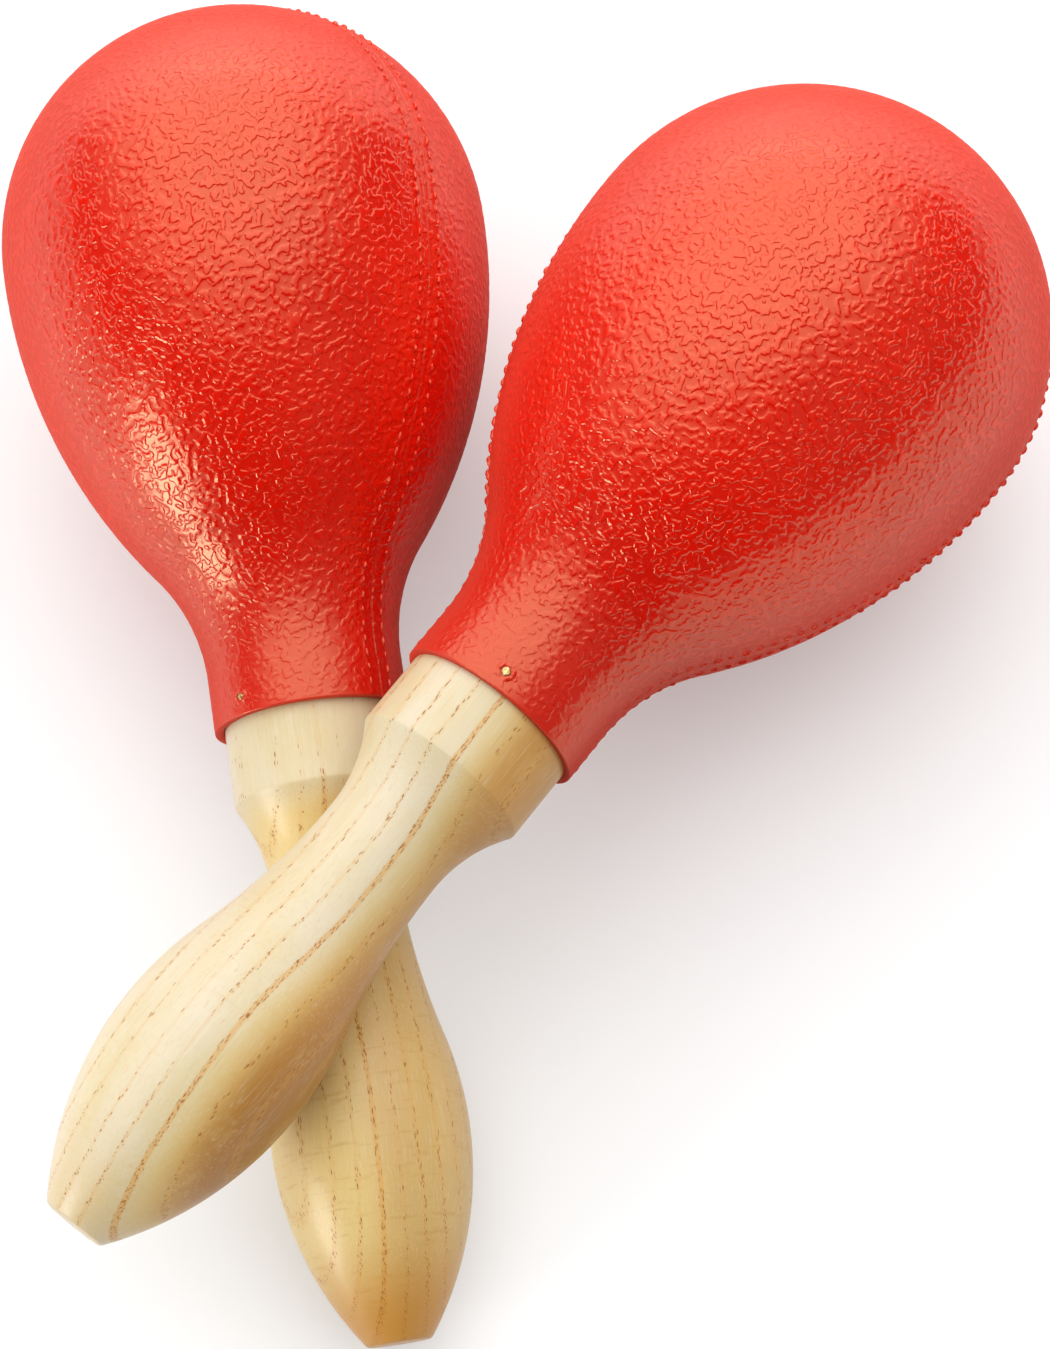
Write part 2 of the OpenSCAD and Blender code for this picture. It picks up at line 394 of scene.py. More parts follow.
def handle_outline(collar_r):
    """From the middle of the flat end up to the middle of the tenon's top."""
    grip_arc = (GRIP_AT ** 2 + (GRIP_R - END_R) ** 2) / (2 * (GRIP_R - END_R))
    grip_centre = (GRIP_R - grip_arc, GRIP_AT)
    drop = GRIP_R - WAIST_R
    waist_arc = ((WAIST_AT - GRIP_AT) ** 2 + drop ** 2) / (2 * drop) - grip_arc
    waist_centre = (WAIST_R + waist_arc, WAIST_AT)
    grip_top = angle_between(grip_centre, waist_centre)
    run = HANDLE_L - COLLAR_H - WAIST_AT
    rise = collar_r - WAIST_R
    cove_arc = (run ** 2 + rise ** 2) / (2 * rise)
    cove_centre = (WAIST_R + cove_arc, WAIST_AT)
    edge_off = cove_centre[0] - collar_r + COLLAR_EASE
    edge_rise = math.sqrt((cove_arc + COLLAR_EASE) ** 2 - edge_off ** 2)
    edge_centre = (collar_r - COLLAR_EASE, WAIST_AT + edge_rise)
    edge_foot = angle_between(edge_centre, cove_centre)
    flat_r = grip_centre[0] + math.sqrt((grip_arc - END_EASE) ** 2 - (GRIP_AT - END_EASE) ** 2)
    corner = (flat_r, END_EASE)
    grip_foot = angle_between(grip_centre, corner)
    tenon_top = HANDLE_L + TENON_L
    points = [(0.0, 0.0)] + line((0, 0), (flat_r, 0), WOOD_STEP)
    points += arc(corner, END_EASE, -math.pi / 2, grip_foot, END_EASE / END_EASE_STEPS)
    points += arc(grip_centre, grip_arc, grip_foot, grip_top, WOOD_STEP)
    points += arc(waist_centre, waist_arc, grip_top + math.pi, math.pi, WOOD_STEP)
    points += arc(cove_centre, cove_arc, math.pi, edge_foot + math.pi, WOOD_STEP)
    points += arc(edge_centre, COLLAR_EASE, edge_foot, 0, COLLAR_EASE / COLLAR_EASE_STEPS)
    shoulder = HANDLE_L - SHOULDER_GAP
    points += line(points[-1], (collar_r, shoulder), WOOD_STEP)
    points += line((TENON_R, shoulder), (TENON_R, tenon_top - TENON_BEVEL), INSIDE_STEP)
    points += [(TENON_R - TENON_BEVEL, tenon_top), (0.0, tenon_top)]
    return points


def ring_turns(radius, arc_angle, step, extra=()):
    """Angles from zero to arc_angle at which a ring has points, with extra ones beside both ends.

    A very small ring is one point, and a ring too small for the extra points goes without them.
    """
    if radius < ONE_POINT_RING * step:
        return np.array([0.0])
    turns = np.linspace(0, arc_angle, max(3, round(arc_angle * radius / step)) + 1)
    if extra and radius > EXTRA_ROOM * extra[-1]:
        beside = np.array(extra) / radius
        clear = EXTRA_CLEAR * beside[-1]
        kept = turns[(turns > clear) & (turns < arc_angle - clear)]
        turns = np.concatenate([[0], beside, kept, arc_angle - beside[::-1], [arc_angle]])
    return turns


def zip_rows(first, first_turns, second, second_turns):
    """Triangles between two rows of points that run side by side, each with its own spacing."""
    steps = np.concatenate([first_turns[1:], second_turns[1:]])
    of_first = np.concatenate([np.ones(len(first_turns) - 1, bool), np.zeros(len(second_turns) - 1, bool)])
    of_first = of_first[np.argsort(steps, kind="stable")]
    i = np.cumsum(of_first) - of_first
    j = np.cumsum(~of_first) - ~of_first
    next_first = first[np.minimum(i + 1, len(first) - 1)]
    next_second = second[np.minimum(j + 1, len(second) - 1)]
    third = np.where(of_first, next_first, next_second)
    return np.stack([first[i], second[j], third], axis=1)


def turned(outline, arc_angle, steps, extra=()):
    """Points and triangles of an outline turned about the axis, and the index of each ring's points."""
    places, rows, triangles, turns_before = [], [], [], None
    count = 0
    closed = arc_angle > 2 * math.pi - 1e-6
    for (radius, height), step in zip(outline, steps):
        turns = ring_turns(radius, arc_angle, step, extra)
        made = turns[:-1] if closed and len(turns) > 1 else turns
        heights = np.full(len(made), height)
        places.append(np.stack([radius * np.cos(made), radius * np.sin(made), heights], axis=1))
        row = np.arange(count, count + len(made))
        count += len(made)
        if closed and len(turns) > 1:
            row = np.append(row, row[0])
        if rows:
            triangles.append(zip_rows(rows[-1], turns_before, row, turns))
        rows.append(row)
        turns_before = turns
    return np.concatenate(places), triangles, rows


def outward(places, triangles):
    """The triangles turned so that they all face out of the closed shape."""
    corners = places[triangles]
    volume = np.einsum("ij,ij->i", corners[:, 0], np.cross(corners[:, 1], corners[:, 2])).sum()
    return triangles if volume > 0 else triangles[:, ::-1]


def make_mesh(name, places, triangles, weights=None):
    """A smooth mesh of triangles, with optional named numbers at its points."""
    mesh = bpy.data.meshes.new(name)
    mesh.from_pydata(places.tolist(), [], triangles.tolist())
    mesh.shade_smooth()
    for key, values in (weights or {}).items():
        mesh.attributes.new(key, "FLOAT", "POINT").data.foreach_set("value", values.astype(np.float32))
    return mesh


def make_object(name, mesh):
    """A new object in the scene, at the origin."""
    piece = bpy.data.objects.new(name, mesh)
    bpy.context.scene.collection.objects.link(piece)
    return piece


# Geometry trees

def geometry_tree(name, inputs):
    """An empty geometry tree with named inputs: each is (name, socket type, value)."""
    tree = bpy.data.node_groups.new(name, "GeometryNodeTree")
    tree.interface.new_socket("Geometry", in_out="OUTPUT", socket_type="NodeSocketGeometry")
    tree.interface.new_socket("Geometry", in_out="INPUT", socket_type="NodeSocketGeometry")
    for label, kind, value in inputs:
        socket = tree.interface.new_socket(label, in_out="INPUT", socket_type=kind)
        if value is not None:
            socket.default_value = value
    entry = tree.nodes.new("NodeGroupInput")
    taken = {socket.name: Tone(tree, socket) for socket in entry.outputs if socket.name}
    return tree, taken


def close_tree(tree, geometry, material):
    """The tree's end: instances made real, then the material."""
    real = geometry.node("GeometryNodeRealizeInstances", None, {"Geometry": geometry})
    dressed = real.node("GeometryNodeSetMaterial", None, {"Geometry": real, "Material": material})
    add_node(tree, "NodeGroupOutput", None, {"Geometry": dressed})


def grow(piece, tree, values):
    """Runs a geometry tree on a piece and keeps the result as a plain mesh."""
    modifier = piece.modifiers.new(tree.name, "NODES")
    modifier.node_group = tree
    for item in tree.interface.items_tree:
        if item.in_out == "INPUT" and item.name in values:
            modifier[item.identifier] = values[item.name]
    bpy.context.view_layer.update()
    evaluated = piece.evaluated_get(bpy.context.evaluated_depsgraph_get())
    plain = bpy.data.meshes.new_from_object(evaluated)
    piece.modifiers.clear()
    plain.name = piece.data.name
    piece.data = plain
    return piece


def point_value(tree, name, kind="FLOAT"):
    """A number, or a vector, that the mesh carries at its points."""
    return add_node(tree, "GeometryNodeInputNamedAttribute", {"data_type": kind}, {"Name": name})


def grain_islands(where, scale):
    """Share of raised grain at a place: 1 on an island, 0 between islands."""
    return where.noise(scale, GRAIN_DETAIL, GRAIN_ROUGHNESS, GRAIN_DISTORTION).smooth(
        GRAIN_LEVEL - GRAIN_EDGE, GRAIN_LEVEL + GRAIN_EDGE
    )


def grain_tree():
    """Raises the leather grain of the mould on the skin of a shell."""
    tree, taken = geometry_tree("moulded_grain", [
        ("Grain Scale", "NodeSocketFloat", GRAIN_SCALE),
        ("Grain Height", "NodeSocketFloat", GRAIN_H),
        ("Material", "NodeSocketMaterial", None),
    ])
    where = add_node(tree, "GeometryNodeInputPosition")
    relief = point_value(tree, "relief")
    height = grain_islands(where, taken["Grain Scale"]) * relief * taken["Grain Height"]
    normal = add_node(tree, "GeometryNodeInputNormal")
    lift = normal.node("ShaderNodeVectorMath", {"operation": "SCALE"}, {0: normal, "Scale": height})
    raised = lift.node("GeometryNodeSetPosition", None, {"Geometry": taken["Geometry"], "Offset": lift})
    close_tree(tree, raised, taken["Material"])
    return tree


def stitch_tree():
    """Sets raised stitches along the rows beside a seam: low rounded dashes, each a little different."""
    tree, taken = geometry_tree("seam_stitches", [
        ("Pitch", "NodeSocketFloat", STITCH_PITCH),
        ("Length", "NodeSocketFloat", STITCH_L),
        ("Width", "NodeSocketFloat", STITCH_W),
        ("Height", "NodeSocketFloat", STITCH_H),
        ("Seed", "NodeSocketInt", STITCH_SEED),
        ("Material", "NodeSocketMaterial", None),
    ])
    rows = taken["Geometry"].node("GeometryNodeMeshToCurve", None, {"Mesh": taken["Geometry"]})
    rows = rows.node("GeometryNodeResampleCurve", {"mode": "LENGTH"}, {
        "Curve": rows, "Length": taken["Pitch"]})
    spots = rows.node("GeometryNodeCurveToPoints", {"mode": "EVALUATED"}, {"Curve": rows})
    out = point_value(tree, "out", "FLOAT_VECTOR")
    along = point_value(tree, "along", "FLOAT_VECTOR")
    turn = out.node("FunctionNodeAlignRotationToVector", {"axis": "Z"}, {"Vector": out})
    turn = turn.node("FunctionNodeAlignRotationToVector", {"axis": "X", "pivot_axis": "Z"}, {
        "Rotation": turn, "Vector": along})
    dash = add_node(tree, "GeometryNodeMeshIcoSphere", None, {"Radius": 0.5, "Subdivisions": 2})
    size = dash.node("ShaderNodeCombineXYZ", None, {
        0: taken["Length"], 1: taken["Width"], 2: 2 * taken["Height"]})
    vary = dash.node("FunctionNodeRandomValue", {"data_type": "FLOAT_VECTOR"}, {
        0: STITCH_SMALLEST, 1: STITCH_LARGEST, "Seed": taken["Seed"]})
    tall = point_value(tree, "tall")
    swell = tall.node("ShaderNodeCombineXYZ", None, {
        0: FLAT_STITCH_L + (1 - FLAT_STITCH_L) * tall,
        1: FLAT_STITCH_W + (1 - FLAT_STITCH_W) * tall,
        2: tall,
    })
    size = size.node("ShaderNodeVectorMath", {"operation": "MULTIPLY"}, {0: size, 1: vary})
    size = size.node("ShaderNodeVectorMath", {"operation": "MULTIPLY"}, {0: size, 1: swell})
    placed = spots.node("GeometryNodeInstanceOnPoints", None, {
        "Points": spots, "Instance": dash, "Rotation": turn, "Scale": size})
    smooth = placed.node("GeometryNodeRealizeInstances", None, {"Geometry": placed})
    smooth = smooth.node("GeometryNodeSetShadeSmooth", None, {"Geometry": smooth})
    close_tree(tree, smooth, taken["Material"])
    return tree


# Finishes: heights above the rim are in millimetres, given as where a change starts and where it is full
NECK_SHADE = (48, 10)
NECK_SHADE_SHARE = 0.8
NECK_DULL = (40, 10)
NECK_DULL_SHARE = 0.06
RECESS_SHADE_SHARE = 0.16
BLOTCH_SCALE = 0.06
PEBBLE_SCALE = 2.6
PEBBLE_BUMP = 0.06
PEBBLE_DULL = 0.08
SCUFFS = (1.1, 1.1, 0.132)
SCUFF_EDGE = (0.66, 0.74)
SCUFF_DULL = 0.08
ISLAND_GLOSS = 0.04
RED_ROUGHNESS = 0.24
SLANT = (0.3, 0.8)
SLANT_DULL = 0.5
RED_BUMP = 0.11 * MM
RED_GLOSS = (1.0, 0.88, 0.5, 1.0)


def red_plastic(side):
    """Satin red plastic with a leather grain: the fine edges of the islands, painted shade in the hollows
    between them, faint blotches and scuffs.

    It is painted darker by the neck, as shade under the head, and it is duller by the neck and where the
    surface is seen at a slant.
    """
    material, tree = new_material(f"shell_red_{side}")
    where = upright_coordinates(tree, side)
    height = where.parts()[2]
    up = height - HANDLE_L / MM
    grained = up.smooth(PLAIN_BY_RIM[0] / MM, PLAIN_BY_RIM[1] / MM) * (
        FAINT_GRAIN + (1 - FAINT_GRAIN) * up.smooth(FAINT_BY_RIM[0] / MM, FAINT_BY_RIM[1] / MM))
    islands = grain_islands(where, GRAIN_SCALE * MM) * grained
    blotches = where.noise(BLOTCH_SCALE, 3.0, 0.55)
    pebbles = where.noise(PEBBLE_SCALE, 2.0, 0.6)
    scuffs = where.stretched(*SCUFFS).noise(1.0, 3.0, 0.6).smooth(*SCUFF_EDGE)
    colour = blotches.smooth(0.3, 0.7).mix(RED, RED_BRIGHT)
    # Painted shade: the red is deeper by the neck, under the head
    colour = (NECK_SHADE_SHARE * up.smooth(*NECK_SHADE)).mix(colour, RED_NECK_SHADE)
    # Painted shade: the hollows between the grain's islands are darker
    colour = (RECESS_SHADE_SHARE * (1 - islands) * grained).mix(colour, RED_RECESS_SHADE)
    slant = add_node(tree, "ShaderNodeLayerWeight", None, {"Blend": 0.5}, "Facing")
    roughness = RED_ROUGHNESS - ISLAND_GLOSS * islands + PEBBLE_DULL * (pebbles - 0.5) + SCUFF_DULL * scuffs
    roughness = roughness + SLANT_DULL * slant.smooth(*SLANT) + NECK_DULL_SHARE * up.smooth(*NECK_DULL)
    bumps = islands + PEBBLE_BUMP * pebbles
    normal = bumps.node("ShaderNodeBump", None, {"Strength": 1.0, "Distance": RED_BUMP, "Height": bumps})
    shader = add_node(tree, "ShaderNodeBsdfPrincipled", None, {
        "Base Color": colour, "Roughness": roughness, "Normal": normal, "IOR": 1.5,
        "Specular IOR Level": 1.0, "Specular Tint": RED_GLOSS})
    finish_material(tree, shader)
    return material


# Growth rings of each handle, in millimetres and degrees: heading of the ring planes about the axis, their
# pitch, the depth of a bold ring, lean along the axis, depths where gold and heartwood begin (heartwood that
# is partly painted shade on the front handle's shaded side), how brown the heartwood and its painted shade
# are, the height where the collar pales, and shares: how strong the ripple is, how far the flat end is
# darkened with painted shade, how far the lines fade (clear) on the collar and how far it pales
RINGS = {
    "rear": {"heading": 69.0, "pitch": 3.6, "bold": -5.1, "lean": 0.0, "gold": -22.0, "heart_and_shade": -9.0,
             "brown": 0.3, "pale_from": 90.0, "ripple": 1.0, "end": 0.85, "clear": 0.8, "pale": 1.0},
    "front": {"heading": -5.6, "pitch": 4.5, "bold": 7.1, "lean": 0.02, "gold": 6.9, "heart_and_shade": 8.5,
              "brown": 0.95, "pale_from": 86.0, "ripple": 0.2, "end": 0.12, "clear": 0.0, "pale": 0.15},
}
RING_CURVE = 0.006
RING_WAVER = 3.0
RING_JITTER = 0.5
RING_LINE_W = 0.52
BOLD_LINE_MORE = 0.08
BOLD_REACH = (0.9, 0.3)
LINE_EDGE = (1.0, 0.25)
PATCH_EDGE = (0.3, 0.62)

# Strength of a ring's line: the least, and what chance, patches and boldness add
LINE_LEAST = 0.3
LINE_CHANCE = 0.35
LINE_PATCHY = 0.35
LINE_BOLD = 0.6

# Pores, in cells: how many stray from the lines, their reach, what chance adds to it, and their soft edge
STRAY_PORES = 0.012
PORE_R = 0.32
PORE_R_MORE = 0.22
PORE_EDGE = 0.14
PORE_FAINTEST = 0.45

# Depths in millimetres over which gold, heartwood that is partly painted shade, and its dark core of painted
# shade come in
GOLD_IN = (-1.5, 5.0)
HEART_AND_SHADE_IN = (-0.5, 6.5)
SHADE_CORE_IN = (1.5, 8.0)

# Heights in millimetres: where the lines clear, over how much the collar pales, from how far above that
# down to where the dark core of painted shade grows, and where the ripple comes in and the painted shade
# darkens the end
CLEAR_OVER = (88, 100)
PALE_OVER = 8
SHADE_CORE_ABOVE = 12
SHADE_CORE_FULL = 20
RIPPLE_OVER = (75, 55)
END_SHADE_OVER = (20, 2)

# Shares of the layers of the wood's colour
GOLD_SHARE = 0.85
SHADE_CORE_SHARE = 0.42
SILK_GOLD_SHARE = 0.22
SILK_SHEEN_SHARE = 0.4
FIBRE_PALE_SHARE = 0.45
FIBRE_SHARE = 0.5
FLECK_SHARE = 0.2
RIPPLE_SHARE = 0.45
LINE_SHARE = 0.34
BOLD_SHARE = 0.14

# Figure of the wood: how fine each pattern is across the grain, twice, and along it, in cells per millimetre
WAVER = (0.05, 0.05, 0.018)
JITTER = (0.3, 0.3, 0.12)
PATCHES = (0.1, 0.1, 0.09)
PORES = (3.9, 3.9, 0.75)
FIBRES = (4.2, 4.2, 0.11)
RIPPLES = (0.16, 0.16, 1.1)
SILKS = (0.32, 0.32, 0.16)
CLOUDS = (0.07, 0.07, 0.03)
FLECKS = (1.6, 1.6, 0.5)


def ring_lines(where, ring):
    """Depth across the growth rings in millimetres, and strengths of the porous lines and the bold ring."""
    x, y, z = where.parts()
    heading = math.radians(ring["heading"])
    across = math.cos(heading) * x + math.sin(heading) * y
    aside = math.cos(heading) * y - math.sin(heading) * x
    waver = where.stretched(*WAVER).noise(1.0, 2.0, 0.5) - 0.5
    jitter = where.stretched(*JITTER).noise(1.0, 2.0, 0.6) - 0.5
    depth = across + aside * aside * RING_CURVE + ring["lean"] * z
    depth = depth + RING_WAVER * waver + RING_JITTER * jitter
    turn = (depth - ring["bold"]) / ring["pitch"]
    number = turn.node("ShaderNodeMath", {"operation": "ROUND"}, {0: turn})
    off = ((turn - number) * ring["pitch"]).size()
    strength = number.node("ShaderNodeTexWhiteNoise", {"noise_dimensions": "1D"}, {"W": number})
    bold = turn.size().smooth(*BOLD_REACH)
    width = RING_LINE_W + BOLD_LINE_MORE * bold
    patchy = where.stretched(*PATCHES).noise(1.0, 2.0, 0.5).smooth(*PATCH_EDGE)
    shown = LINE_LEAST + LINE_CHANCE * strength + LINE_PATCHY * patchy + LINE_BOLD * bold
    line = (off / width).smooth(*LINE_EDGE) * shown
    return depth, line, bold


def pore_dashes(where, line):
    """Short dark dashes along the grain: many in a ring's line, a few elsewhere."""
    cells = where.stretched(*PORES)
    spread = cells.node("ShaderNodeTexVoronoi", {"feature": "F1"}, {"Vector": cells, "Scale": 1.0})
    chance = cells.node("ShaderNodeTexVoronoi", {"feature": "F1"}, {"Vector": cells, "Scale": 1.0}, "Color")
    red = chance.node("ShaderNodeSeparateColor", None, {0: chance}, "Red")
    green = chance.node("ShaderNodeSeparateColor", None, {0: chance}, "Green")
    there = (line + STRAY_PORES - red).smooth(0.0, 0.03)
    inside = (PORE_R + PORE_R_MORE * green - spread).smooth(0.0, PORE_EDGE)
    return inside * there * (PORE_FAINTEST + (1 - PORE_FAINTEST) * green)


def ash_wood(side):
    """Pale ring-porous wood under satin lacquer: lines of pores, brown heartwood that is partly painted
    shade, painted shade in a dark core and on the end, and a silky figure that is partly a painted sheen.
    """
    ring = RINGS[side]
    material, tree = new_material(f"ash_wood_{side}")
    where = upright_coordinates(tree, side)
    depth, line, bold = ring_lines(where, ring)
    height = where.parts()[2]
    line = line * (1 - ring["clear"] * height.smooth(*CLEAR_OVER))
    pores = pore_dashes(where, line)
    fibres = where.stretched(*FIBRES).noise(1.0, 3.0, 0.6) - 0.5
    ripples = where.stretched(*RIPPLES).noise(1.0, 2.0, 0.55) - 0.5
    silk_and_sheen = where.stretched(*SILKS).noise(1.0, 3.0, 0.6) - 0.5
    clouds = where.stretched(*CLOUDS).noise(1.0, 2.0, 0.5)
    flecks = where.stretched(*FLECKS).noise(1.0, 2.0, 0.6) - 0.5
    below_collar = 1 - ring["pale"] * height.smooth(ring["pale_from"], ring["pale_from"] + PALE_OVER)
    gold = (depth - ring["gold"]).smooth(*GOLD_IN) * below_collar
    # Heartwood: partly the wood's own colour, partly painted shade on the front handle's shaded side
    heart_and_shade = (depth - ring["heart_and_shade"]).smooth(*HEART_AND_SHADE_IN) * below_collar
    # Painted shade: a dark brown core low on the shaded side, away from the collar
    shade_core_height = height.smooth(ring["pale_from"] + SHADE_CORE_ABOVE, SHADE_CORE_FULL)
    shade_core = (depth - ring["heart_and_shade"]).smooth(*SHADE_CORE_IN) * shade_core_height
    ripples = ripples * height.smooth(*RIPPLE_OVER)
    colour = clouds.smooth(0.3, 0.7).mix(SAPWOOD, SAPWOOD_DEEP)
    colour = (GOLD_SHARE * gold).mix(colour, GOLD_WOOD)
    colour = (ring["brown"] * heart_and_shade).mix(colour, HEARTWOOD_AND_SHADE)
    colour = (SHADE_CORE_SHARE * ring["brown"] * shade_core).mix(colour, SHADE_BROWN)
    colour = (SILK_GOLD_SHARE * silk_and_sheen.smooth(0.0, 0.3)).mix(colour, GOLD_WOOD)
    # Pale silky blotches: partly the wood's figure, partly a painted sheen, kept off the gold and heartwood
    colour = (SILK_SHEEN_SHARE * silk_and_sheen.smooth(0.0, -0.3) * (1 - gold.most(heart_and_shade))).mix(colour, PALE_SILK_AND_SHEEN)
    colour = (FIBRE_PALE_SHARE * fibres.smooth(-0.02, -0.28)).mix(colour, PALE_SILK_AND_SHEEN)
    dark_fibres = FIBRE_SHARE * fibres.smooth(0.03, 0.35) + FLECK_SHARE * flecks.smooth(0.05, 0.3)
    colour = dark_fibres.mix(colour, FIBRE)
    colour = (RIPPLE_SHARE * ring["ripple"] * ripples.smooth(0.04, 0.3)).mix(colour, RIPPLE)
    colour = (LINE_SHARE * line.least(1.0) + BOLD_SHARE * line * bold).mix(colour, RING_LINE)
    # Painted shade: the flat end and the taper by it are darker
    colour = (ring["end"] * height.smooth(*END_SHADE_OVER)).mix(colour, HEARTWOOD_AND_SHADE)
    colour = pores.mix(colour, PORE)
    roughness = 0.4 + 0.2 * pores + 0.14 * fibres - 0.1 * silk_and_sheen
    relief = 0.3 * fibres - pores + 0.25 * ring["ripple"] * ripples
    normal = relief.node("ShaderNodeBump", None, {"Strength": 0.4, "Distance": 0.1 * MM, "Height": relief})
    shader = add_node(tree, "ShaderNodeBsdfPrincipled", None, {
        "Base Color": colour, "Roughness": roughness, "Normal": normal, "IOR": 1.5,
        "Specular IOR Level": 0.35, "Coat Weight": 0.15, "Coat Roughness": 0.2})
    finish_material(tree, shader)
    return material


# Fineness of the tarnish on the nails and the mottling of the pellets, in cells per metre
TARNISH_SCALE = 2500.0
MOTTLE_SCALE = 900.0


def brass():
    """Brass of the nails, dulled and flecked."""
    material, tree = new_material("brass")
    where = add_node(tree, "ShaderNodeTexCoord", out="Object")
    tarnish = where.noise(TARNISH_SCALE, 3.0, 0.6)
    colour = tarnish.smooth(0.35, 0.65).mix(BRASS, BRASS_DULL)
    shader = add_node(tree, "ShaderNodeBsdfPrincipled", None, {
        "Base Color": colour, "Roughness": 0.28 + 0.25 * tarnish, "Metallic": 1.0})
    finish_material(tree, shader)
    return material


def pellet_ivory():
    """Ivory plastic pellets, a little mottled."""
    material, tree = new_material("pellet_ivory")
    where = add_node(tree, "ShaderNodeTexCoord", out="Object")
    mottle = where.noise(MOTTLE_SCALE, 3.0, 0.6)
    colour = mottle.smooth(0.3, 0.7).mix(IVORY, IVORY_DEEP)
    normal = mottle.node("ShaderNodeBump", None, {"Strength": 0.3, "Distance": 0.05 * MM, "Height": mottle})
    shader = add_node(tree, "ShaderNodeBsdfPrincipled", None, {
        "Base Color": colour, "Roughness": 0.4 + 0.2 * mottle, "Normal": normal})
    finish_material(tree, shader)
    return material


# Pieces

def shell_half_mesh(name, side, proud):
    """Half of a head on the side of +Y: its skin, rim and inside, and its two seam faces."""
    outside, inside = shell_outline()
    steps = [SKIN_STEP] * len(outside) + [INSIDE_STEP] * len(inside)
    places, triangles, rows = turned(outside + inside, math.pi, steps, SEAM_STEPS)
    skin = sum(len(row) for row in rows[:len(outside)])
    shares = np.linspace(0, 1, len(outside)), np.linspace(0, 1, len(inside))
    for end in (0, -1):
        outer = np.array([row[end] for row in rows[:len(outside)]])
        inner = np.array([row[end] for row in rows[len(outside):]])[::-1]
        strip = zip_rows(outer, shares[0], inner, shares[1])
        triangles.append(strip[:, ::-1] if end else strip)
    triangles = outward(places, np.concatenate(triangles))
    return shape_skin(name, side, places, triangles, skin, proud)


def shape_skin(name, side, places, triangles, skin, proud):
    """Moves the skin at the seam and under the stitches, and notes how much grain each point carries."""
    mesh = make_mesh(name, places, triangles)
    normals = np.zeros(len(places) * 3)
    mesh.vertices.foreach_get("normal", normals)
    normals = normals.reshape(-1, 3)
    on_skin = np.arange(len(places)) < skin
    beside = np.abs(places[:, 1])
    up = places[:, 2] - HANDLE_L
    lift = proud * bell(beside, SEAM_PROUD_WIDTH) - SEAM_DEPTH * bell(beside, SEAM_WIDTH)
    lift += WELT_H * bell(beside - STITCH_OFF, WELT_WIDTH) * stitch_height(side, places[:, 2])
    lift += seam_flash(places) * bell(beside, FLASH_WIDTH)
    from_nail = np.hypot(places[:, 0], places[:, 2] - NAIL_AT)
    seam_normals = np.where(beside[:, None] < SEAM_STEPS[-1], along_skin(places), normals)
    moved = places + seam_normals * (lift * (on_skin & (up > RIM_ROUND)))[:, None]
    grained = ease(up, *PLAIN_BY_RIM) * (FAINT_GRAIN + (1 - FAINT_GRAIN) * ease(up, *FAINT_BY_RIM))
    relief = on_skin * ease(beside, *PLAIN_BY_SEAM) * grained * ease(from_nail, *PLAIN_BY_NAIL)
    bpy.data.meshes.remove(mesh)
    return make_mesh(name, moved, triangles, {"relief": relief})


def seam_flash(places):
    """How far ragged flash stands out along the seam: here and there, and not alike on the two sides."""
    start = np.where(places[:, 0] > 0, *FLASH_STARTS)
    waves = sum(np.sin(places[:, 2] / wave + start) for wave in FLASH_WAVES)
    return FLASH_H * np.maximum(0, waves - FLASH_LEVEL)


def stitch_height(side, heights):
    """Share of the full height that stitches have: they are low by the rim and over the crown."""
    least = LOWEST_STITCH[side]
    by_rim = ease(heights - HANDLE_L, *LOW_BY_RIM)
    on_crown = 1 - LOWER_ON_CROWN * ease(heights - HEAD_AT, *LOW_ON_CROWN)
    return least + (1 - least) * by_rim * on_crown


def bell(values, width):
    """1 at zero, falling to nothing over about twice the width on either side."""
    return np.exp(-(values / width) ** 2)


def ease(values, low, high):
    """0 below low, 1 above high, with a soft step between."""
    share = np.clip((values - low) / (high - low), 0, 1)
    return share * share * (3 - 2 * share)


def skin_slope(heights):
    """Outward way of the head's outline at some heights: its part across the axis and its part along it."""
    low_belly = HEAD_AT + BELLY_R * math.sin(BELLY_FOOT)
    along = np.zeros_like(heights)
    crown = heights >= HEAD_AT
    along[crown] = np.clip((heights[crown] - HEAD_AT) / HEAD_R, -1, 1)
    belly = (heights < HEAD_AT) & (heights >= low_belly)
    along[belly] = (heights[belly] - HEAD_AT) / BELLY_R
    flare = (heights < low_belly) & (heights >= NECK_TOP)
    along[flare] = -(heights[flare] - NECK_TOP) / FLARE_R
    return np.sqrt(1 - along ** 2), along


def along_skin(places):
    """Outward ways of the smooth head at some of its points."""
    across, along = skin_slope(places[:, 2])
    around = places[:, :2] / np.maximum(np.linalg.norm(places[:, :2], axis=1, keepdims=True), 1e-9)
    return np.column_stack([around * across[:, None], along])


def shell_half(side, half, tree, material):
    """A dressed shell half: the tongue half is on the side of +Y, the groove half on the other."""
    mesh = shell_half_mesh(f"{side}_head_{half}", side, SEAM_PROUD if half == "groove" else 0.0)
    if half == "groove":
        mesh.transform(Matrix.Rotation(math.pi, 4, "Z"))
    piece = make_object(f"{side}_head_{half}", mesh)
    grow(piece, tree, {"Material": material})
    piece.data.transform(LIE[side])
    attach(piece, f"{side}_maraca")
    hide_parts(f"{side}_shell_{half}_half")
    return piece


